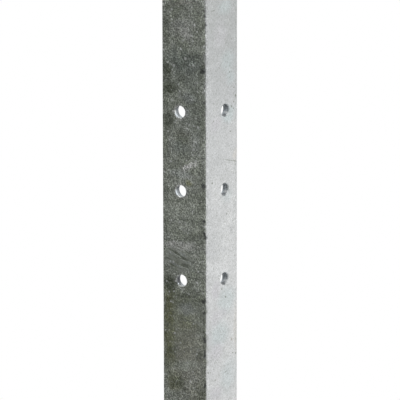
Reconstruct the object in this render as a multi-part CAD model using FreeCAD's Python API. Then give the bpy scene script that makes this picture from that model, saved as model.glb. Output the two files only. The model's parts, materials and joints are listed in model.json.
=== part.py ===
"""Galvanised steel angle fence post, in millimetres.

One length of hot-rolled equal angle with punched bolt holes at the same heights in both flanges.
The origin is on the heel line, the outer corner of the angle, at the foot end. +Z runs up the post,
the x flange lies along +X with its outer face on y = 0, and the y flange lies along +Y with its
outer face on x = 0.
"""

import FreeCAD, Part
import math
import os

# Angle section
LEG = 40.0
WALL = 5.0
ROOT_RADIUS = 6.0
TOE_RADIUS = 3.0
HEEL_RADIUS = 0.9
ARRIS_RADIUS = 0.6

# Length and cut ends
LENGTH = 1500.0
END_RADIUS = 0.35

# Punched holes, measured down from the top end, with each pair's gauge in from the heel line
HOLE_DIAMETER = 9.0
TOP_HOLE_DROP = 190.0
UPPER_PITCH = 60.5
LOWER_PITCH = 69.0
TOP_GAUGE = 24.0
MIDDLE_GAUGE = 23.4
BOTTOM_GAUGE = 22.9
PUNCH_RADIUS = 0.6
BREAK_CHAMFER = 0.2

# Modelling allowances
CUTTER_OVERRUN = 1.0
SAME_PLACE = 0.001

ALONG_X = FreeCAD.Vector(1, 0, 0)
ALONG_Y = FreeCAD.Vector(0, 1, 0)
UP = FreeCAD.Vector(0, 0, 1)


def rounded_wire(corners):
    """A closed wire through (x, y, radius) corners, with a tangent arc at each corner."""
    points = [FreeCAD.Vector(x, y, 0) for x, y, _ in corners]
    arcs = []
    for index, (_, _, radius) in enumerate(corners):
        corner = points[index]
        back = (points[index - 1] - corner).normalize()
        ahead = (points[(index + 1) % len(points)] - corner).normalize()
        half_angle = back.getAngle(ahead) / 2
        bisector = (back + ahead).normalize()
        trim = radius / math.tan(half_angle)
        to_middle = radius / math.sin(half_angle) - radius
        arcs.append((corner + back * trim, corner + bisector * to_middle, corner + ahead * trim))
    edges = []
    for index, (start, middle, end) in enumerate(arcs):
        edges.append(Part.LineSegment(arcs[index - 1][2], start).toShape())
        edges.append(Part.Arc(start, middle, end).toShape())
    return Part.Wire(edges)


def angle_bar():
    """The rolled section, drawn out along the whole length."""
    section = rounded_wire([
        (0, 0, HEEL_RADIUS),
        (LEG, 0, ARRIS_RADIUS),
        (LEG, WALL, TOE_RADIUS),
        (WALL, WALL, ROOT_RADIUS),
        (WALL, LEG, TOE_RADIUS),
        (0, LEG, ARRIS_RADIUS),
    ])
    return Part.Face(section).extrude(UP * LENGTH)


def soften_ends(bar):
    """Rounds the arrises of both cut ends, as the zinc leaves them."""
    ends = [
        edge
        for edge in bar.Edges
        if edge.BoundBox.ZLength < SAME_PLACE
    ]
    return bar.makeFillet(END_RADIUS, ends)


def hole_pairs():
    """Gauge and height above the foot end of each pair of holes, from the top one down."""
    top = LENGTH - TOP_HOLE_DROP
    middle = top - UPPER_PITCH
    bottom = middle - LOWER_PITCH
    return [(TOP_GAUGE, top), (MIDDLE_GAUGE, middle), (BOTTOM_GAUGE, bottom)]


def hole_cutters():
    """One cylinder through each flange for each pair of holes."""
    depth = WALL + 2 * CUTTER_OVERRUN
    cutters = []
    for inward, across in ((ALONG_Y, ALONG_X), (ALONG_X, ALONG_Y)):
        for gauge, height in hole_pairs():
            start = across * gauge + UP * height - inward * CUTTER_OVERRUN
            cutters.append(Part.makeCylinder(HOLE_DIAMETER / 2, depth, start, inward))
    return cutters


def hole_rims(bar, depth):
    """The round hole edges that lie this deep under the outer faces."""
    rims = []
    for edge in bar.Edges:
        if not isinstance(edge.Curve, Part.Circle):
            continue
        flange_depth = min(edge.Curve.Center.x, edge.Curve.Center.y)
        is_hole = abs(edge.Curve.Radius - HOLE_DIAMETER / 2) < SAME_PLACE
        if is_hole and abs(flange_depth - depth) < SAME_PLACE:
            rims.append(edge)
    return rims


def punched(bar):
    """Punches the holes: the rim rolls over on the outer face and breaks out on the inner one."""
    bar = bar.cut(Part.makeCompound(hole_cutters()))
    bar = bar.makeFillet(PUNCH_RADIUS, hole_rims(bar, 0))
    return bar.makeChamfer(BREAK_CHAMFER, hole_rims(bar, WALL))


def main():
    os.makedirs("parts", exist_ok=True)
    post = punched(soften_ends(angle_bar()))
    post.Solids[0].exportStep("parts/angle_post.step")


main()
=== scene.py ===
"""Galvanised steel angle fence post: the zinc-coated post, a pale floor, soft light and the camera.

All lengths are in metres, in the frame of the solid model: the heel line of the angle runs up +Z from
the origin, the x flange lies along +X and the y flange along +Y. On a flange, u is the distance from
the heel line and w is the depth under the outer face.
"""

import json
import math
from types import SimpleNamespace

import bmesh
import bpy
from mathutils import Matrix, Vector, noise


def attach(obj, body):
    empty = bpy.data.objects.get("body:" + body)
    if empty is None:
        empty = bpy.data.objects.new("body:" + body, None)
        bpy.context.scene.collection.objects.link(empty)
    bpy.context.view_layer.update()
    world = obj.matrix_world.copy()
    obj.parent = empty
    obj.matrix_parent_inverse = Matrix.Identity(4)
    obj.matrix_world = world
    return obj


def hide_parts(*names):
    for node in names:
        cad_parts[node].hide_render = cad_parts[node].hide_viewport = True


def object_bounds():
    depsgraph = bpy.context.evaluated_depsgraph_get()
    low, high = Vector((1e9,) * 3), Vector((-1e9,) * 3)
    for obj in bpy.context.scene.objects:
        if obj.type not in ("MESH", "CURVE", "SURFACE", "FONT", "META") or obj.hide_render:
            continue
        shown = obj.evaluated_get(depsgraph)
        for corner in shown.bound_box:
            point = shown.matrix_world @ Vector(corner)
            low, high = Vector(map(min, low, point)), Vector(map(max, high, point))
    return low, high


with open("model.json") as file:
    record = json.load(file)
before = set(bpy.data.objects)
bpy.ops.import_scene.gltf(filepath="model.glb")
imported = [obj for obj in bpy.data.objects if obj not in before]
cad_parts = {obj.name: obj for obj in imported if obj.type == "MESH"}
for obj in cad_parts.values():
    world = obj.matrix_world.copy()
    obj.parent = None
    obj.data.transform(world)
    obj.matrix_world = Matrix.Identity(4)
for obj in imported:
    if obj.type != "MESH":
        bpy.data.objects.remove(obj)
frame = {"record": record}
CAD_LOW, CAD_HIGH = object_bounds()
MM = 0.001

# Post, from the frame
NODE = "angle_post"
LEG = CAD_HIGH.x
LENGTH = CAD_HIGH.z
BORES = [mount for mount in frame["record"]["mounts"] if mount["kind"] == "bore"]
HOLE_RADIUS = BORES[0]["dims"]["r_mm"] * MM
HOLES = sorted({(mount["pos_m"][2], max(mount["pos_m"][:2])) for mount in BORES})
MIDDLE_HOLE, HOLE_LINE = HOLES[1]

# Rolled section, its edges and the punched holes
WALL = 0.005
ROOT_RADIUS = 0.006
TOE_RADIUS = 0.003
HEEL_RADIUS = 0.0009
ARRIS_RADIUS = 0.0006
END_RADIUS = 0.00035
ROLL_WIDTH = 0.0010
ROLL_DEPTH = 0.0006
BREAK_START = 0.002
BREAK_WIDTH = 0.00045
BURR_HEIGHT = 0.0002
BURR_WIDTH = 0.0012
BURR_EDGE = 0.0001

# Mesh
X_FLANGE, Y_FLANGE = 0, 1
GRID = 0.002
PATCH = 0.008
ARC_STEPS = 4
HOLE_STEPS = 64
RIM_MARGIN = 0.001
BORE_DEPTH = "bore_depth"

# Zinc coat: gentle waves in the surface, given as wavelength and height
ZINC_WAVES = ((0.016, 0.00005), (0.007, 0.00003))
END_CALM = 0.01

# Noises of the zinc: size of the blotches, how far they move what is drawn, and turns
BROAD_SIZE = 0.035
MOTTLE_SIZE = 0.013
PATCHY_SIZE = 0.009
SPECKLE_SIZE = 0.007
BAND_SIZE = 0.0026
STREAK_SIZE = 0.0021
GRAIN_SIZE = 0.0017
GRIT_SIZE = 0.0012
DRAWN_SIZE = 0.0012
SPARKLE_SIZE = 0.0011
FINE_SIZE = 0.0008
RAGGED_SIZE = 0.004
RAGGED_REACH = 0.004
ADRIFT_SIZE = 0.014
ADRIFT_REACH = 0.004
SLANT = (0.7, 0.5, 0.3)
BAND_TURN = (math.radians(-3), 0, 0)
STREAK_TURN = (math.radians(-12.8), 0, 0)
DRAWN_TURN = (0, math.radians(10), 0)

# Where the faces, the heel, the olive in the darker grime and painted shade of the y face and the bands
# begin and where they are full, the last two from the middle hole
FACE_DEPTH = (0.002, 0.0005)
Y_FACE_START = (0.0003, 0.001)
X_FACE_START = (0.001, 0.004)
HEEL_REACH = (0.003, 0.001)
OLIVE_HEIGHTS = (-0.06, -0.14)
BAND_HEIGHTS = (0.01, -0.02)

# Scattered dots: distance apart, radius and share
# Raised spots, painted white as glints
GLINT_FLECK_DOTS = (0.0042, 0.0011, 0.35)
GRAIN_DOTS = (0.0028, 0.001, 0.4)
DULL_DOTS = (0.0022, 0.0011, 0.6)
SPECK_DOTS = (0.009, 0.001, 0.4)

# Colours
ZINC = (0.60, 0.612, 0.617, 1)
ZINC_DULL = (0.50, 0.513, 0.518, 1)
ZINC_PALE = (0.68, 0.69, 0.69, 1)
WHITE_ZINC = (0.8, 0.8, 0.79, 1)
GLINT = (0.98, 1, 1, 1)
BLOOM = (0.62, 0.66, 0.68, 1)
ASH = (0.64, 0.68, 0.61, 1)
VERDIGRIS = (0.53, 0.605, 0.61, 1)
LILAC = (0.59, 0.58, 0.61, 1)
SAND = (0.66, 0.63, 0.59, 1)
WEATHERED = (0.555, 0.595, 0.525, 1)
# Grime of the y face, made darker as painted shade of that face
GRIME_AND_SHADE = (0.31, 0.345, 0.265, 1)
OLIVE = (0.38, 0.39, 0.23, 1)
MOSS = (0.25, 0.26, 0.12, 1)
SLATE = (0.22, 0.255, 0.245, 1)
DIRT = (0.165, 0.185, 0.14, 1)
RUST = (0.36, 0.28, 0.19, 1)
# Grey of torn steel in the holes, also used as painted shade on the x holes' rims and deep in the holes
STEEL_AND_SHADE = (0.28, 0.315, 0.34, 1)
# Bright steel for specks in the holes and for painted highlights on the y holes' rims
BARE_STEEL_AND_GLEAM = (0.74, 0.80, 0.85, 1)
# Painted shade: dark colour for the shade at the holes' lips, rims and walls and in the nicks of the heel
# edge
DARK_SHADE = (0.10, 0.105, 0.11, 1)
SHADE = (0.03, 0.03, 0.032, 1)

# Patches on the outer faces: colour, strength, then u, z from the middle hole and half sizes in mm,
# and a turn in degrees
Y_PATCHES = (
    (BLOOM, 0.8, 18, 151, 20, 8),
    (SAND, 0.4, 20, 143, 19, 2, -13),
    (DIRT, 0.7, 35, 139, 5, 3.5),
    (DIRT, 0.45, 36, 121, 5, 19),
    (LILAC, 0.3, 22, 124, 16, 12),
    (WHITE_ZINC, 0.5, 18, 119, 5, 7, -40),
    (SLATE, 0.65, 20, 99, 28, 15),
    (SLATE, 0.3, 16, 84, 24, 12),
    (SLATE, 0.25, 12, 60, 18, 26),
    (DIRT, 0.7, 3, 95, 4, 6),
    (DIRT, 0.4, 36, 86, 6, 24),
    (DIRT, 0.9, 35, 92, 6, 6),
    (DIRT, 1.0, 34, 76.5, 11, 7.5),
    (BLOOM, 0.4, 16, 72, 12, 5),
    (BLOOM, 0.7, 18.2, 61.5, 3.4, 5.5),
    (DIRT, 0.8, 34.5, 53, 6, 9),
    (SLATE, 0.45, 24, 33, 14, 6),
    (SAND, 0.15, 22, 44, 12, 4),
    (BLOOM, 0.2, 9, 40, 6, 14),
    (ASH, 0.25, 20, 14, 24, 20),
    (BLOOM, 0.4, 24, 13, 14, 5),
    (BLOOM, 0.4, 17.8, -1.0, 3.2, 5.0),
    (OLIVE, 0.8, 16.5, 7.5, 4.5, 3.5, 20),
    (ASH, 0.55, 20, -18, 28, 24),
    (ASH, 0.45, 20, -12, 18, 4.5),
    (DIRT, 0.35, 19, -21.5, 19, 2.5, 3),
    (ASH, 0.5, 19, -27, 19, 2.2, 3),
    (DIRT, 0.35, 14, -33.5, 14, 3.5, 3),
    (WHITE_ZINC, 0.7, 22, -42, 21, 5, -4),
    (WHITE_ZINC, 0.5, 33, -42, 9, 4),
    (ASH, 0.35, 18, -50, 20, 11, -10),
    (OLIVE, 0.3, 24, -112, 26, 52),
    (SAND, 0.35, 16, -132, 22, 42),
    (DIRT, 0.2, 20, -82, 24, 16),
    (MOSS, 0.55, 35, -108, 7, 52),
    (MOSS, 0.4, 34, -86, 7, 24),
    (DIRT, 0.9, 34, -73, 9, 11),
    (DIRT, 0.5, 20, -80, 18, 2, -3),
    (BLOOM, 0.5, 18, -90, 12, 7),
    (OLIVE, 0.3, 20, -103, 14, 5),
    (MOSS, 0.5, 34, -124, 6, 9),
    (DIRT, 0.55, 31, -124, 7, 5),
    (DIRT, 0.6, 7, -123, 5, 5),
    (ASH, 0.9, 20, -135, 20, 5.5, -10),
    (OLIVE, 0.6, 30, -150, 9, 9),
    (DIRT, 0.7, 27, -149, 10, 6),
    # Darker strips low down by the heel and near the toe; the one by the heel is partly dirt, partly
    # painted shade along the heel
    (DIRT, 0.5, 1.8, -112, 2, 50),
    (DIRT, 0.4, 37.2, -108, 0.8, 50),
    (DIRT, 0.4, 34.2, -108, 0.8, 50),
)
X_PATCHES = (
    # The first three rows make the x face darker towards the top and paler low down, a painted fall-off of
    # the light
    (ZINC_DULL, 1.0, 28, 140, 60, 140),
    (DIRT, 0.15, 30, 150, 60, 90),
    (ZINC_PALE, 1.0, 36, -90, 40, 170),
    (ZINC_PALE, 0.6, 33.5, 14, 7.5, 5.5),
    (VERDIGRIS, 0.5, 27, 97, 12, 12),
    (VERDIGRIS, 0.5, 31, 84, 8, 8),
    (VERDIGRIS, 0.5, 24, 138, 12, 8),
    (VERDIGRIS, 0.7, 28, 57, 12, 9),
    (VERDIGRIS, 0.55, 26, -86, 17, 15),
    (VERDIGRIS, 0.6, 17, -111, 18, 15),
    (VERDIGRIS, 0.5, 28, -146, 15, 18),
    (VERDIGRIS, 0.4, 26, -4, 10, 10),
    (LILAC, 0.45, 17, 119, 11, 16),
    (LILAC, 0.6, 12, 52, 9, 9),
    (LILAC, 0.7, 12, -76, 9, 10),
    (LILAC, 0.5, 20, -95, 9, 6),
    (LILAC, 0.5, 11, -98, 9, 8),
    (LILAC, 0.7, 13, -124, 12, 9),
    (LILAC, 0.6, 12, -157, 12, 9),
    (SAND, 0.6, 37, 24, 4, 7),
    (SAND, 0.5, 38, -110, 4, 28),
    # A thin dark line along the toe edge of the x face
    (DIRT, 0.14, 38.1, -500, 0.9, 3000),
)

# Small marks on the outer faces: u, z from the middle hole and half sizes in mm, and a turn in degrees
Y_SCUFF = (15.8, 19.8, 12, 3.4, -28)
Y_STREAKS = (26.0, -53.0, 19, 15)
Y_CALM = (20, -108, 60, 42)
# Raised bright spots on the y face, painted white as glints
Y_GLINT_FLECKS = (
    (19.0, 101.5, 1.7, 1.5),
    (11.6, 33.3, 1.7, 1.5),
    (1.8, -24.0, 1.5, 1.2),
    (30.5, -55.5, 1.4, 1.2),
    (8.8, -68.4, 1.3, 1.2),
    (29.5, 95.0, 1.5, 1.4),
    (35.5, 96.8, 1.0, 0.9),
    (30.9, 91.7, 1.0, 1.0),
    (20.9, 115.0, 1.8, 1.0, -30),
    (7.4, 50.8, 1.6, 1.4),
    (3.3, -51.1, 1.2, 1.1),
    (31.1, 127.1, 1.2, 1.0),
    (10.7, 127.7, 1.1, 1.3),
    (8.3, 122.8, 1.0, 1.0),
    (13.7, 119.3, 1.5, 1.2),
    (12.1, 115.6, 1.0, 1.5),
    (15.0, 97.1, 1.1, 1.0),
    (12.1, 97.1, 1.0, 1.0),
    (25.4, 81.2, 1.2, 0.9),
    (8.4, 84.4, 1.1, 1.0),
    (15.5, 51.9, 1.2, 1.1),
    (11.7, 51.4, 1.2, 1.0),
    (17.9, 48.7, 1.0, 1.0),
    (11.8, 36.7, 1.2, 1.0),
    (12.6, 29.3, 1.3, 1.1),
    (6.3, 29.8, 1.0, 0.9),
)
# Nicks in the heel edge, drawn as dark spots of painted shade
Y_NICK_SHADES = (
    (1.2, 135.1, 1.6, 1.1),
    (1.2, 129.3, 1.5, 1.6),
    (3.2, 93.6, 4.0, 3.2),
    (1.9, 70.0, 1.8, 1.5),
    (2.5, 28.2, 1.6, 1.2),
    (2.6, 6.4, 2.8, 3.2),
    (2.7, -20.4, 2.0, 1.5),
    (1.4, -31.0, 1.4, 5.0),
    (2.5, -82.4, 3.0, 2.4),
    (2.2, -90.9, 2.0, 2.2),
    (2.1, -112.2, 2.4, 3.0),
    (1.5, -123.6, 1.4, 4.5),
    (1.9, -147.4, 1.8, 6.0),
)
X_RUST = (32.9, -118.7, 1.2, 1.6)
X_LINES = (
    (30.1, 21.1, 12, 0.5, -16.4),
    (36.8, 19.2, 4.5, 0.7, -16.4),
    (8.6, 138.1, 4.5, 0.45, 5),
)
X_SPECKS = (
    (35.7, 75.8, 0.9, 0.8),
    (37.8, 69.2, 0.9, 1.6),
    (32.6, 61.9, 0.9, 1.1),
    (35.2, 59.8, 0.8, 0.8),
    (9.5, 54.9, 0.8, 0.8),
    (31.2, 43.1, 0.7, 0.9),
    (26.4, -19.4, 0.8, 1.1),
    (38.0, -130.8, 0.9, 1.0),
    (34.1, -129.7, 0.8, 0.7),
    (24.8, -142.6, 0.8, 0.7),
    (10.9, -145.9, 0.8, 0.9),
    (2.0, -137.9, 0.9, 0.9),
    (4.5, -138.4, 0.8, 0.8),
)

# Painted shade and painted highlights in the holes: as above, and then the depth under the outer face and
# its half size in mm
Y_BORE_SHADES = (
    (27.8, 63.0, 1.8, 1.8, 0, 3.0, 2.4),
    (26.8, 2.6, 2.2, 2.6, 0, 2.8, 2.4),
    (26.6, -69.0, 3.2, 5.2, 0, 2.8, 2.8),
)
Y_RIM_SHADES = (
    (28.4, 62.4, 2.2, 2.8, 0, 1.2, 1.8),
    (26.6, 64.2, 1.6, 1.2, 0, 2.0, 2.0),
    (27.6, 2.2, 2.8, 3.6, 0, 1.6, 2.6),
    (26.8, -70.2, 4.4, 6.6, 0, 1.6, 3.2),
)
Y_BORE_GLEAMS = (
    (27.2, 57.4, 3.4, 3.2, 0, 0.6, 0.9),
    (27.2, 58.4, 2.6, 2.6, 0, 3.2, 0.7),
    (27.2, -1.8, 2.6, 3.6, 0, 0.6, 0.9),
    (25.0, -4.0, 2.0, 1.6, 0, 2.6, 0.7),
    (26.4, -72.0, 1.0, 0.9, 0, 0.8, 0.9),
)

# Marks that are alike at each hole of a flange, with u and z from the hole's middle; the lip shades
# begin with their strength
X_BORE_SHADE = (1.4, -4.0, 3.0, 2.0, 0, 2.8, 3.2)
X_BORE_GLEAM = (3.8, -2.3, 1.3, 1.0, 0, 1.8, 2.2)
Y_HALO = (0, 0, 7.2, 7.2)
Y_RIM = (0, 0, 5.7, 5.7, 0, 0.5, 4)
# Rolled rim of each x hole, which gets painted shade
X_SHADED_RIM = (0.4, 0, 5.8, 5.5)
X_RIM_GLEAM = (3.6, -3.6, 2.4, 2.2, 0, 0.3, 1.2)
X_LIP_SHADES = (
    (0.9, -0.8, -4.4, 3.4, 2.4, 0, 0.5, 3.0),
    (0.5, 5.0, 1.0, 1.8, 3.8, 0, 0.4, 2.0),
)

# Floor, dark card, world and lamps
FLOOR_RADIUS = 2.5
FLOOR_SIDES = 96
FLOOR_FADE = (0.9, 2.4)
FLOOR_COLOR = (0.86, 0.86, 0.86, 1)
CARD_COLOR = (0.22, 0.225, 0.21, 1)
CARD_SIDE = Vector((-0.80, 0.60, 0)).normalized()
CARD_DISTANCE = 1.6
CARD_HEIGHT = 0.9
CARD_SIZE = 2.4
WHITE = (1, 1, 1, 1)
WORLD_LIGHT = 0.03
KEY_PLACE, KEY_TARGET = (-0.5, -1.9, 2.3), (0, 0, 1.2)
KEY_SIZE, KEY_POWER = 1.0, 58
FLOOR_LIGHT_PLACE, FLOOR_LIGHT_TARGET = (0.8, 0.8, 3.2), (0.1, 0.1, 0)
FLOOR_LIGHT_SIZE, FLOOR_LIGHT_POWER = 1.2, 55

# Camera
AZIMUTH = math.radians(-54.7)
ELEVATION = math.radians(14.3)
ROLL = math.radians(-0.107)
DISTANCE = 2.77
LENS = 336.2
SENSOR = 36.0
CLIP_END = 100
AIM_LEFT_OF_HEEL = 0.0048
AIM_BELOW_MIDDLE_HOLE = 0.0033


# Nodes


def node(tree, kind, inputs=(), **settings):
    """Adds a node, sets its properties and fills its inputs with values or links."""
    made = tree.nodes.new(kind)
    for name, value in settings.items():
        setattr(made, name, value)
    for key, value in dict(inputs).items():
        fill(tree, made.inputs[key], value)
    return made


def fill(tree, socket, value):
    """Sets an input to a value or links it."""
    if isinstance(value, bpy.types.NodeSocket):
        tree.links.new(value, socket)
    else:
        socket.default_value = value


def calc(tree, operation, *values, clamp=False):
    """One step of arithmetic."""
    made = node(tree, "ShaderNodeMath", enumerate(values), operation=operation, use_clamp=clamp)
    return made.outputs[0]


def mix(tree, factor, first, second, blend="MIX"):
    """Mixes two colours."""
    made = node(tree, "ShaderNodeMix", data_type="RGBA", blend_type=blend)
    for key, value in ((0, factor), (6, first), (7, second)):
        fill(tree, made.inputs[key], value)
    return made.outputs[2]


def ramp(tree, value, low, high, to_low=0.0, to_high=1.0):
    """Smooth step of a value from one range to another."""
    made = node(
        tree,
        "ShaderNodeMapRange",
        {0: value, 1: low, 2: high, 3: to_low, 4: to_high},
        interpolation_type="SMOOTHSTEP",
    )
    return made.outputs[0]


def cloud(tree, place, size, detail=2.0, roughness=0.5, stretch=(1, 1, 1), turn=(0, 0, 0)):
    """Noise from 0 to 1 with blotches about this size, drawn out along an axis by stretch."""
    spot = node(tree, "ShaderNodeMapping", {"Vector": place, "Rotation": turn})
    scaled = node(
        tree,
        "ShaderNodeMapping",
        {"Vector": spot.outputs[0], "Scale": [1 / (size * part) for part in stretch]},
    )
    made = node(
        tree,
        "ShaderNodeTexNoise",
        {"Vector": scaled.outputs[0], "Scale": 1.0, "Detail": detail, "Roughness": roughness},
    )
    return made.outputs["Fac"]


def dots(tree, place, cell, radius, share):
    """Round dots up to this radius, near the given share of the points of a scatter one cell apart."""
    scaled = node(tree, "ShaderNodeMapping", {"Vector": place, "Scale": [1 / cell] * 3})
    scatter = node(tree, "ShaderNodeTexVoronoi", {"Vector": scaled.outputs[0], "Scale": 1.0})
    pick = node(tree, "ShaderNodeSeparateColor", {0: scatter.outputs["Color"]}).outputs[0]
    near = ramp(tree, scatter.outputs["Distance"], radius / cell, 0.4 * radius / cell)
    return calc(tree, "MULTIPLY", near, calc(tree, "LESS_THAN", pick, share))


def mark(tree, place, flange, u, z, half_u, half_z, turn=0, w=0, half_w=3, softness=0.5):
    """An oval on a flange, 1 in the middle and 0 outside, from sizes in mm."""
    centre = on_flange(flange, u * MM, w * MM, MIDDLE_HOLE + z * MM)
    if turn:
        turned = node(
            tree,
            "ShaderNodeVectorRotate",
            {"Vector": place, "Center": centre, "Angle": math.radians(turn)},
            rotation_type="X_AXIS" if flange == Y_FLANGE else "Y_AXIS",
            invert=flange == Y_FLANGE,
        )
        place = turned.outputs[0]
    scale = [1 / half for half in on_flange(flange, half_u * MM, half_w * MM, half_z * MM)]
    offset = [-middle * part for middle, part in zip(centre, scale)]
    scaled = node(tree, "ShaderNodeVectorMath", {0: place, 1: scale, 2: offset}, operation="MULTIPLY_ADD")
    reach = node(tree, "ShaderNodeVectorMath", {0: scaled.outputs[0]}, operation="LENGTH")
    return ramp(tree, reach.outputs["Value"], 1, 1 - softness)


def marks(tree, place, flange, rows, softness=0.5):
    """Several ovals on one flange, taken together."""
    together = mark(tree, place, flange, *rows[0], softness=softness)
    for row in rows[1:]:
        together = calc(tree, "MAXIMUM", together, mark(tree, place, flange, *row, softness=softness))
    return together


def at_holes(row):
    """The same oval at each hole of a flange, with its place given from the hole's middle."""
    u, z, *rest = row
    return [(gauge / MM + u, (height - MIDDLE_HOLE) / MM + z, *rest) for height, gauge in HOLES]


def covered(tree, color, mask, strength, over):
    """A colour with another laid over it where a mask is."""
    return mix(tree, calc(tree, "MULTIPLY", mask, strength), color, over)


def patched(tree, color, place, flange, rows):
    """A colour with soft patches laid over it, from rows of colour, strength and oval."""
    for over, strength, *oval in rows:
        color = covered(tree, color, mark(tree, place, flange, *oval, softness=0.7), strength, over)
    return color


def shaken(tree, place, by, size, reach):
    """A place moved about by noise of this size, so that what is drawn there gets ragged edges."""
    scaled = node(tree, "ShaderNodeTexNoise", {"Vector": by, "Scale": 1 / size, "Detail": 1.0})
    centred = node(
        tree,
        "ShaderNodeVectorMath",
        {0: scaled.outputs["Color"], 1: (0.5,) * 3},
        operation="SUBTRACT",
    )
    moved = node(
        tree,
        "ShaderNodeVectorMath",
        {0: centred.outputs[0], 1: (reach,) * 3, 2: place},
        operation="MULTIPLY_ADD",
    )
    return moved.outputs[0]


def new_material(name):
    """A material with an empty node tree."""
    made = bpy.data.materials.new(name)
    made.use_nodes = True
    made.node_tree.nodes.clear()
    return made, made.node_tree


# Post mesh


def divided(stops, step):
    """Values from the first stop to the last that meet every stop and are about one step apart."""
    values = [stops[0]]
    for start, end in zip(stops, stops[1:]):
        count = max(1, round(abs(end - start) / step))
        values += [start + (end - start) * part / count for part in range(1, count + 1)]
    return values


def arc(centre, radius, start_deg, end_deg, hollow=False):
    """Stations (u, w, normal u, normal w) along an arc of the section, both ends included."""
    stations = []
    for part in range(ARC_STEPS + 1):
        angle = math.radians(start_deg + (end_deg - start_deg) * part / ARC_STEPS)
        out_u, out_w = math.cos(angle), math.sin(angle)
        side = -1 if hollow else 1
        u, w = centre[0] + radius * out_u, centre[1] + radius * out_w
        stations.append((u, w, side * out_u, side * out_w))
    return stations


def half_section():
    """One flange's outline, from the middle of the heel round the toe to the middle of the root."""
    patch = (HOLE_LINE - PATCH, HOLE_LINE + PATCH)
    outer = divided([HEEL_RADIUS, *patch, LEG - ARRIS_RADIUS], GRID)
    inner = divided([LEG - TOE_RADIUS, *reversed(patch), WALL + ROOT_RADIUS], GRID)
    root = WALL + ROOT_RADIUS
    return [
        *arc((HEEL_RADIUS, HEEL_RADIUS), HEEL_RADIUS, -135, -90)[:-1],
        *[(u, 0, 0, -1) for u in outer[:-1]],
        *arc((LEG - ARRIS_RADIUS, ARRIS_RADIUS), ARRIS_RADIUS, -90, 0),
        *arc((LEG - TOE_RADIUS, WALL - TOE_RADIUS), TOE_RADIUS, 0, 90)[:-1],
        *[(u, WALL, 0, 1) for u in inner[:-1]],
        *arc((root, root), ROOT_RADIUS, -90, -135, hollow=True),
    ]


def levels():
    """Heights up the post, each with how far the rounded end draws the outline in."""
    rounding = [math.radians(90 * part / ARC_STEPS) for part in range(ARC_STEPS)]
    foot = [(END_RADIUS * (1 - math.cos(a)), END_RADIUS * (1 - math.sin(a))) for a in rounding]
    stops = [END_RADIUS]
    for height, _ in HOLES:
        stops += [height - PATCH, height + PATCH]
    shaft = [(z, 0) for z in divided([*stops, LENGTH - END_RADIUS], GRID)]
    top = [(LENGTH - z, inset) for z, inset in reversed(foot)]
    return foot + shaft + top


def on_flange(flange, u, w, z):
    """A point in the model's frame from its place on a flange."""
    return Vector((w, u, z)) if flange == Y_FLANGE else Vector((u, w, z))


def bridge(mesh, outside, inside):
    """Faces between two rings of the same count, or of a ring and one twice as fine."""
    count = len(outside)
    fine = len(inside) // count
    for here in range(count):
        there = (here + 1) % count
        if fine == 1:
            mesh.faces.new((outside[here], outside[there], inside[there], inside[here]))
            continue
        first, middle, last = (inside[(2 * here + part) % len(inside)] for part in range(3))
        mesh.faces.new((outside[here], middle, first))
        mesh.faces.new((outside[here], outside[there], middle))
        mesh.faces.new((outside[there], last, middle))


def wall_radius(depth):
    """Radius of a hole at a depth: straight where the punch cut, then wider where the metal broke out."""
    share = (depth - BREAK_START) / (WALL - BREAK_START)
    return HOLE_RADIUS + BREAK_WIDTH * max(0, min(1, share))


def hole_profile():
    """Radius and depth of the rings down a hole, from the outer face to the inner one."""
    steps = 2 * ARC_STEPS
    quarter = [math.radians(90 * part / steps) for part in range(steps + 1)]
    mouth = [
        (HOLE_RADIUS + ROLL_WIDTH * (1 - math.sin(a)), ROLL_DEPTH * (1 - math.cos(a)))
        for a in quarter
    ]
    crest = WALL + BURR_HEIGHT
    exit_radius = wall_radius(WALL)
    burr = [(exit_radius, crest - BURR_EDGE), (exit_radius + BURR_EDGE, crest)]
    for part in range(1, ARC_STEPS + 1):
        fall = math.cos(math.radians(90 * part / ARC_STEPS)) ** 2
        radius = exit_radius + BURR_EDGE + BURR_WIDTH * part / ARC_STEPS
        burr.append((radius, WALL + BURR_HEIGHT * fall))
    start = (HOLE_RADIUS + ROLL_WIDTH + RIM_MARGIN, 0)
    end = (burr[-1][0] + RIM_MARGIN / 2, WALL)
    bore = [(wall_radius(w), w) for w in divided([ROLL_DEPTH, BREAK_START, WALL], GRID / 4)[1:]]
    return [start, *mouth, *bore, *burr, end]


def edge_ring(grid, columns, rows):
    """The vertices round a block of the grid, from its low corner, along the columns first."""
    low, high = rows[0], rows[-1]
    first, last = columns[0], columns[-1]
    ring = [grid[low][column] for column in columns[:-1]]
    ring += [grid[row][last] for row in rows[:-1]]
    ring += [grid[high][column] for column in reversed(columns[1:])]
    ring += [grid[row][first] for row in reversed(rows[1:])]
    return ring


def cut_hole(mesh, flange, height, gauge, outer_ring, inner_ring):
    """Fills the gap left in both faces of a flange with a round hole and marks how deep its wall is."""
    depth_mark = mesh.verts.layers.float[BORE_DEPTH]
    rings = [outer_ring]
    for radius, depth in hole_profile():
        ring = []
        for step in range(HOLE_STEPS):
            angle = math.radians(225 + 360 * step / HOLE_STEPS)
            u = gauge + radius * math.cos(angle)
            vertex = mesh.verts.new(on_flange(flange, u, depth, height + radius * math.sin(angle)))
            vertex[depth_mark] = depth / WALL if radius < wall_radius(depth) + BURR_EDGE / 2 else 0
            ring.append(vertex)
        rings.append(ring)
    for outside, inside in zip(rings, rings[1:]):
        bridge(mesh, outside, inside)
    bridge(mesh, inner_ring, rings[-1])


def zinc_height(place):
    """How far the zinc stands proud at a point of the surface."""
    calm = min(1, place.z / END_CALM, (LENGTH - place.z) / END_CALM)
    return max(0, calm) * sum(height * noise.noise(place / size) for size, height in ZINC_WAVES)


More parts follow.
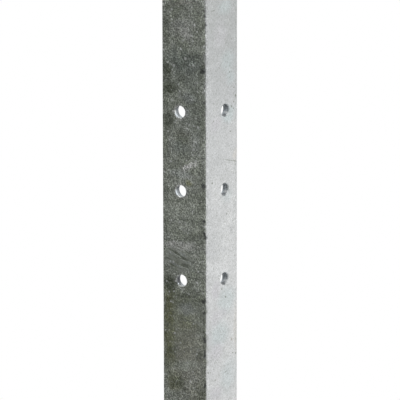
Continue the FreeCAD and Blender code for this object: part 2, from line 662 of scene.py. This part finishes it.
def post_mesh():
    """The whole post: the swept section, its holes and ends, and the waves of the zinc."""
    mesh = bmesh.new()
    mesh.verts.layers.float.new(BORE_DEPTH)
    half = half_section()
    other = [(w, u, normal_w, normal_u) for u, w, normal_u, normal_w in half]
    loop = half + list(reversed(other[1:-1]))
    heights = levels()
    grid = [
        [mesh.verts.new((x - nx * inset, y - ny * inset, z)) for x, y, nx, ny in loop]
        for z, inset in heights
    ]

    count = len(loop)
    gaps = set()
    holes = []
    near = PATCH + GRID / 4
    for height, gauge in HOLES:
        rows = [row for row, (z, _) in enumerate(heights) if abs(z - height) < near]
        for flange in (X_FLANGE, Y_FLANGE):
            rings = []
            for depth in (0, WALL):
                columns = [
                    (count - index) % count if flange == Y_FLANGE else index
                    for index, (u, w, _, _) in enumerate(half)
                    if w == depth and abs(u - HOLE_LINE) < near
                ]
                columns = columns if depth == 0 else columns[::-1]
                starts = [min(pair) for pair in zip(columns, columns[1:])]
                gaps |= {(row, column) for row in rows[:-1] for column in starts}
                rings.append(edge_ring(grid, columns, rows))
            holes.append((flange, height, gauge, *rings))

    for row, (lower, upper) in enumerate(zip(grid, grid[1:])):
        for column in range(count):
            following = (column + 1) % count
            if (row, column) not in gaps:
                mesh.faces.new((lower[column], lower[following], upper[following], upper[column]))
    for hole in holes:
        cut_hole(mesh, *hole)
    for face in mesh.faces:
        face.smooth = True
    mesh.faces.new(grid[0])
    mesh.faces.new(grid[-1])
    bmesh.ops.recalc_face_normals(mesh, faces=mesh.faces)

    mesh.normal_update()
    raised = [(vertex, vertex.normal * zinc_height(vertex.co)) for vertex in mesh.verts]
    for vertex, rise in raised:
        vertex.co += rise
    return mesh


def make_post():
    """The one piece that stands for the solid."""
    data = bpy.data.meshes.new("post")
    mesh = post_mesh()
    mesh.to_mesh(data)
    mesh.free()
    post = bpy.data.objects.new("post", data)
    bpy.context.collection.objects.link(post)
    post.modifiers.new("even_shading", "WEIGHTED_NORMAL").keep_sharp = True
    data.materials.append(zinc_material())
    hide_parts(NODE)
    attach(post, "root")


# Zinc material


def zinc_masks(tree):
    """The places, noises and marks that the zinc's colour, relief and gloss share."""
    masks = SimpleNamespace()
    place = node(tree, "ShaderNodeTexCoord").outputs["Object"]
    slanted = node(tree, "ShaderNodeMapping", {"Vector": place, "Rotation": SLANT}).outputs[0]
    masks.place = place
    masks.slanted = slanted
    masks.ragged = shaken(tree, place, slanted, RAGGED_SIZE, RAGGED_REACH)
    masks.adrift = shaken(tree, masks.ragged, slanted, ADRIFT_SIZE, ADRIFT_REACH)

    masks.broad = cloud(tree, slanted, BROAD_SIZE)
    masks.patchy = cloud(tree, slanted, PATCHY_SIZE)
    masks.grain = cloud(tree, slanted, GRAIN_SIZE, detail=1.0)
    masks.fine = cloud(tree, slanted, FINE_SIZE, detail=1.0)
    masks.grit = cloud(tree, place, GRIT_SIZE, detail=1.0)
    masks.flecks = calc(
        tree,
        "MAXIMUM",
        dots(tree, slanted, *GLINT_FLECK_DOTS),
        marks(tree, place, Y_FLANGE, Y_GLINT_FLECKS, softness=0.6),
    )
    masks.scuff = mark(tree, masks.ragged, Y_FLANGE, *Y_SCUFF, softness=0.9)
    streaks = cloud(tree, place, STREAK_SIZE, detail=1.0, stretch=(3, 6, 1), turn=STREAK_TURN)
    masks.striped = mark(tree, masks.ragged, Y_FLANGE, *Y_STREAKS, softness=0.6)
    coarse = cloud(tree, slanted, SPECKLE_SIZE, detail=3.0, roughness=0.95)
    close = calc(tree, "MULTIPLY_ADD", masks.fine, 0.8, masks.grit)
    masks.speckle = calc(
        tree,
        "MULTIPLY",
        ramp(tree, coarse, 0.38, 0.76, 0.8, 1.7),
        ramp(tree, close, 0.68, 1.30, 0.57, 2.06),
    )
    masks.streaks = calc(tree, "MULTIPLY", masks.striped, ramp(tree, streaks, 0.52, 0.38))
    masks.pale_streaks = calc(tree, "MULTIPLY", masks.striped, ramp(tree, streaks, 0.52, 0.66))

    x, y, z = node(tree, "ShaderNodeSeparateXYZ", {0: place}).outputs
    masks.y_face = calc(tree, "MULTIPLY", ramp(tree, x, *FACE_DEPTH), ramp(tree, y, *Y_FACE_START))
    masks.x_face = calc(tree, "MULTIPLY", ramp(tree, y, *FACE_DEPTH), ramp(tree, x, *X_FACE_START))
    masks.low = ramp(tree, z, *[MIDDLE_HOLE + height for height in OLIVE_HEIGHTS])
    masks.lower = ramp(tree, z, *[MIDDLE_HOLE + height for height in BAND_HEIGHTS], 0.3, 1.0)
    across = node(tree, "ShaderNodeVectorMath", {0: place, 1: (1, 1, 0)}, operation="MULTIPLY").outputs[0]
    from_heel = node(tree, "ShaderNodeVectorMath", {0: across}, operation="LENGTH").outputs["Value"]
    masks.heel = ramp(tree, from_heel, *HEEL_REACH)

    masks.depth = node(tree, "ShaderNodeAttribute", attribute_name=BORE_DEPTH).outputs["Fac"]
    masks.bore = ramp(tree, masks.depth, 0.02, 0.14)
    return masks


def zinc_color(tree, masks):
    """Colour of the outer faces and the inside: zinc, grime that is partly painted shade, marks with
    painted shade, highlights and glints, and the speckle over them.
    """
    place, slanted, ragged = masks.place, masks.slanted, masks.ragged
    color = mix(tree, ramp(tree, masks.broad, 0.2, 0.8), ZINC_DULL, ZINC_PALE)
    color = covered(tree, color, ramp(tree, masks.patchy, 0.3, 0.7), 0.6, ZINC)

    color = covered(tree, color, masks.y_face, 0.65, WEATHERED)
    mottle = cloud(tree, slanted, MOTTLE_SIZE, detail=3.0)
    # Darker olive grime on the y face: partly real grime, partly painted shade of the face that the key
    # only grazes
    film_and_shade = calc(tree, "MULTIPLY", masks.y_face, ramp(tree, mottle, 0.65, 0.35, 0.12, 0.60))
    color = mix(tree, film_and_shade, color, mix(tree, calc(tree, "MULTIPLY", masks.low, 0.35), GRIME_AND_SHADE, OLIVE))
    bands = cloud(tree, ragged, BAND_SIZE, detail=2.0, stretch=(4, 7, 1), turn=BAND_TURN)
    banded = calc(tree, "MULTIPLY", masks.y_face, masks.lower)
    color = covered(tree, color, calc(tree, "MULTIPLY", banded, ramp(tree, bands, 0.5, 0.3)), 0.6, DIRT)
    color = covered(tree, color, calc(tree, "MULTIPLY", banded, ramp(tree, bands, 0.55, 0.75)), 0.4, BLOOM)
    color = patched(tree, color, masks.adrift, Y_FLANGE, Y_PATCHES)
    color = covered(tree, color, masks.scuff, 1.0, WHITE_ZINC)
    # The lowest hole, the first one, has no pale halo
    halo = marks(tree, place, Y_FLANGE, at_holes(Y_HALO)[1:], softness=0.25)
    color = covered(tree, color, halo, 0.4, WHITE_ZINC)
    rim = marks(tree, place, Y_FLANGE, at_holes(Y_RIM), softness=0.2)
    color = covered(tree, color, rim, 0.5, ZINC)
    color = covered(tree, color, masks.streaks, 0.7, DIRT)
    color = covered(tree, color, masks.pale_streaks, 0.5, BLOOM)

    color = patched(tree, color, masks.adrift, X_FLANGE, X_PATCHES)
    drawn = cloud(tree, place, DRAWN_SIZE, detail=2.0, stretch=(10, 3, 1), turn=DRAWN_TURN)
    drawn = calc(tree, "MULTIPLY", masks.x_face, ramp(tree, drawn, 0.5, 0.25))
    color = covered(tree, color, drawn, 0.35, ZINC_DULL)
    color = covered(tree, color, mark(tree, place, X_FLANGE, *X_RUST, softness=0.8), 0.6, RUST)
    # Painted shade on the rolled rims of the x holes, and inside them the lips' painted shade
    rim = marks(tree, place, X_FLANGE, at_holes(X_SHADED_RIM), softness=0.2)
    color = covered(tree, color, rim, 0.5, STEEL_AND_SHADE)
    for strength, *oval in X_LIP_SHADES:
        lip = marks(tree, place, X_FLANGE, at_holes(oval), softness=0.5)
        color = covered(tree, color, calc(tree, "MULTIPLY", rim, lip), strength, DARK_SHADE)
    # Painted highlight on the lower rims of the x holes
    gleam = marks(tree, place, X_FLANGE, at_holes(X_RIM_GLEAM), softness=0.6)
    color = covered(tree, color, gleam, 0.5, ZINC_PALE)
    color = covered(tree, color, marks(tree, place, X_FLANGE, X_LINES, softness=0.9), 0.8, DIRT)

    color = covered(tree, color, ramp(tree, masks.grain, 0.55, 0.25), 0.3, ZINC_DULL)
    color = covered(tree, color, dots(tree, slanted, *DULL_DOTS), 0.22, DIRT)
    strength = calc(tree, "MAXIMUM", masks.y_face, ramp(tree, masks.x_face, 0, 1, 0.4, 0.25))
    strength = calc(tree, "MULTIPLY", strength, ramp(tree, masks.striped, 0, 1, 1, 0.35))
    calm = mark(tree, place, Y_FLANGE, *Y_CALM, softness=0.6)
    strength = calc(tree, "MULTIPLY", strength, ramp(tree, calm, 0, 1, 1, 0.65))
    speckled = ramp(tree, strength, 0, 1, 1, masks.speckle)
    scaled = node(tree, "ShaderNodeVectorMath", {0: color, "Scale": speckled}, operation="SCALE")
    color = scaled.outputs[0]
    grains = calc(tree, "MULTIPLY", masks.y_face, dots(tree, slanted, *GRAIN_DOTS))
    color = covered(tree, color, grains, 0.4, WHITE_ZINC)
    # Painted glints on the raised spots of the y face
    color = covered(tree, color, calc(tree, "MULTIPLY", masks.y_face, masks.flecks), 0.85, GLINT)
    # Painted shade in the nicks of the heel edge
    color = covered(tree, color, marks(tree, ragged, Y_FLANGE, Y_NICK_SHADES, softness=0.7), 0.85, DARK_SHADE)
    pits = calc(tree, "MULTIPLY", masks.x_face, ramp(tree, masks.fine, 0.48, 0.34))
    color = covered(tree, color, pits, 0.22, DIRT)
    specks = marks(tree, place, X_FLANGE, X_SPECKS, softness=0.6)
    specks = calc(tree, "MAXIMUM", specks, dots(tree, slanted, *SPECK_DOTS))
    return covered(tree, color, specks, 0.85, DIRT)


def bore_color(tree, masks, color):
    """Colour of the hole walls: burnished at the mouth and greyer further in, partly torn steel and partly
    painted shade, with painted shade and painted highlights at marks.
    """
    place, depth = masks.place, masks.depth
    # Greyer torn steel further in, which also paints the shade deep in the holes
    color = covered(tree, color, ramp(tree, depth, 0.16, 0.32), 0.5, STEEL_AND_SHADE)
    color = covered(tree, color, ramp(tree, depth, 0.45, 0.6), 0.6, STEEL_AND_SHADE)
    # Bright steel specks in the holes: partly bare steel, partly painted glints
    sparkle = ramp(tree, cloud(tree, place, SPARKLE_SIZE, detail=1.0), 0.45, 0.75)
    color = covered(tree, color, calc(tree, "MULTIPLY", sparkle, masks.bore), 0.5, BARE_STEEL_AND_GLEAM)
    shade = marks(tree, place, Y_FLANGE, Y_BORE_SHADES, softness=0.7)
    color = covered(tree, color, calc(tree, "MULTIPLY", shade, masks.bore), 0.9, SHADE)
    shade = marks(tree, place, X_FLANGE, at_holes(X_BORE_SHADE), softness=0.7)
    color = covered(tree, color, calc(tree, "MULTIPLY", shade, masks.bore), 0.9, DARK_SHADE)
    # Painted highlight on the walls of the x holes
    gleam = marks(tree, place, X_FLANGE, at_holes(X_BORE_GLEAM), softness=0.7)
    color = covered(tree, color, calc(tree, "MULTIPLY", gleam, masks.bore), 0.6, WHITE_ZINC)
    rim = marks(tree, place, Y_FLANGE, at_holes(Y_RIM), softness=0.15)
    shade = marks(tree, place, Y_FLANGE, Y_RIM_SHADES, softness=0.7)
    color = covered(tree, color, calc(tree, "MULTIPLY", rim, shade), 0.9, DARK_SHADE)
    # Painted highlights on the rims of the y holes
    gleam = marks(tree, place, Y_FLANGE, Y_BORE_GLEAMS, softness=0.6)
    return covered(tree, color, calc(tree, "MULTIPLY", rim, gleam), 1.0, BARE_STEEL_AND_GLEAM)


def zinc_relief(tree, masks):
    """Height of the grain in mm, calmer on the burnished hole walls."""
    height = calc(tree, "MULTIPLY", masks.grain, 0.25)
    height = calc(tree, "MULTIPLY_ADD", masks.fine, 0.15, height)
    height = calc(tree, "MULTIPLY_ADD", masks.flecks, 0.1, height)
    height = calc(tree, "MULTIPLY_ADD", masks.streaks, -0.2, height)
    height = calc(tree, "MULTIPLY_ADD", calc(tree, "MULTIPLY", masks.scuff, masks.fine), 0.6, height)
    calm = ramp(tree, masks.bore, 0, 1, 1, 0.2)
    calm = calc(tree, "MULTIPLY", calm, ramp(tree, masks.x_face, 0, 1, 1, 0.75))
    rugged = ramp(tree, masks.patchy, 0.3, 0.7, 0.7, 1.3)
    return calc(tree, "MULTIPLY", height, calc(tree, "MULTIPLY", calm, rugged))


def zinc_material():
    """Weathered zinc: half metal, half oxide, and mostly oxide in the holes."""
    material, tree = new_material("galvanised_zinc")
    masks = zinc_masks(tree)
    color = bore_color(tree, masks, zinc_color(tree, masks))
    relief = zinc_relief(tree, masks)
    bump = node(tree, "ShaderNodeBump", {"Strength": 1.0, "Distance": MM, "Height": relief})
    rough = ramp(tree, masks.patchy, 0.2, 0.8, 0.26, 0.34)
    rough = calc(tree, "MULTIPLY_ADD", masks.heel, 0.3, rough)
    surface = node(
        tree,
        "ShaderNodeBsdfPrincipled",
        {
            "Base Color": color,
            "Metallic": ramp(tree, masks.bore, 0, 1, 0.5, 0.15),
            "Roughness": calc(tree, "MULTIPLY_ADD", masks.bore, 0.15, rough),
            "Normal": bump.outputs[0],
        },
    )
    node(tree, "ShaderNodeOutputMaterial", {"Surface": surface.outputs[0]})
    return material


# Stage


def floor_material():
    """Pale floor that fades out to the white background away from the foot."""
    material, tree = new_material("pale_floor")
    place = node(tree, "ShaderNodeTexCoord").outputs["Object"]
    reach = node(tree, "ShaderNodeVectorMath", {0: place}, operation="LENGTH").outputs["Value"]
    pale = node(tree, "ShaderNodeBsdfDiffuse", {"Color": FLOOR_COLOR})
    clear = node(tree, "ShaderNodeBsdfTransparent")
    fade = ramp(tree, reach, *FLOOR_FADE)
    shown = node(tree, "ShaderNodeMixShader", {0: fade, 1: pale.outputs[0], 2: clear.outputs[0]})
    node(tree, "ShaderNodeOutputMaterial", {"Surface": shown.outputs[0]})
    return material


def make_floor():
    """A round floor that adds no diffuse light to the post."""
    bpy.ops.mesh.primitive_circle_add(vertices=FLOOR_SIDES, radius=FLOOR_RADIUS, fill_type="NGON")
    floor = bpy.context.object
    floor.name = "floor"
    floor.data.materials.append(floor_material())
    floor.visible_diffuse = False


def make_dark_card():
    """A dark card on the left that only the metal's reflections see."""
    material, tree = new_material("dark_card")
    dark = node(tree, "ShaderNodeEmission", {"Color": CARD_COLOR})
    node(tree, "ShaderNodeOutputMaterial", {"Surface": dark.outputs[0]})
    bpy.ops.mesh.primitive_plane_add(size=1)
    card = bpy.context.object
    card.name = "dark_card"
    card.data.materials.append(material)
    card.location = CARD_SIDE * CARD_DISTANCE + Vector((0, 0, CARD_HEIGHT))
    card.rotation_euler = CARD_SIDE.to_track_quat("Z", "Y").to_euler()
    card.scale = (CARD_SIZE, CARD_SIZE, 1)
    card.visible_camera = False
    card.visible_diffuse = False
    card.visible_shadow = False


def make_world():
    """White to the camera and in reflections, and faint as a light."""
    world = bpy.data.worlds.new("studio")
    bpy.context.scene.world = world
    world.use_nodes = True
    tree = world.node_tree
    tree.nodes.clear()
    rays = node(tree, "ShaderNodeLightPath").outputs
    seen = calc(tree, "ADD", rays["Is Camera Ray"], rays["Is Glossy Ray"])
    seen = calc(tree, "ADD", seen, rays["Is Transmission Ray"], clamp=True)
    strength = ramp(tree, seen, 0, 1, WORLD_LIGHT, 1.0)
    light = node(tree, "ShaderNodeBackground", {"Color": WHITE, "Strength": strength})
    node(tree, "ShaderNodeOutputWorld", {"Surface": light.outputs[0]})


def make_lamp(name, place, target, size, power):
    """A square lamp that neither the camera nor reflections see."""
    lamp = bpy.data.objects.new(name, bpy.data.lights.new(name, "AREA"))
    lamp.data.size = size
    lamp.data.energy = power
    lamp.location = place
    lamp.rotation_euler = (Vector(place) - Vector(target)).to_track_quat("Z", "Y").to_euler()
    lamp.visible_camera = False
    lamp.visible_glossy = False
    bpy.context.collection.objects.link(lamp)


def make_lights():
    """A key on the pale flange, and a light that draws the shadow on the floor."""
    make_lamp("key", KEY_PLACE, KEY_TARGET, KEY_SIZE, KEY_POWER)
    make_lamp("floor_light", FLOOR_LIGHT_PLACE, FLOOR_LIGHT_TARGET, FLOOR_LIGHT_SIZE, FLOOR_LIGHT_POWER)


def make_camera():
    """The photograph's view: from a little above, onto the heel and both outer faces."""
    outward = Vector((math.sin(AZIMUTH), -math.cos(AZIMUTH), 0))
    right = Vector((math.cos(AZIMUTH), math.sin(AZIMUTH), 0))
    aim = Vector((0, 0, MIDDLE_HOLE - AIM_BELOW_MIDDLE_HOLE)) - right * AIM_LEFT_OF_HEEL
    back = outward * math.cos(ELEVATION) + Vector((0, 0, math.sin(ELEVATION)))
    camera = bpy.data.objects.new("camera", bpy.data.cameras.new("camera"))
    camera.data.lens = LENS
    camera.data.sensor_width = SENSOR
    camera.data.clip_end = CLIP_END
    turn = Matrix((right, back.cross(right), back)).transposed()
    turn = turn @ Matrix.Rotation(ROLL, 3, "Z")
    camera.matrix_world = Matrix.LocRotScale(aim + back * DISTANCE, turn, None)
    bpy.context.collection.objects.link(camera)
    bpy.context.scene.camera = camera


make_post()
make_floor()
make_dark_card()
make_world()
make_lights()
make_camera()
bpy.context.scene.view_settings.view_transform = "Standard"
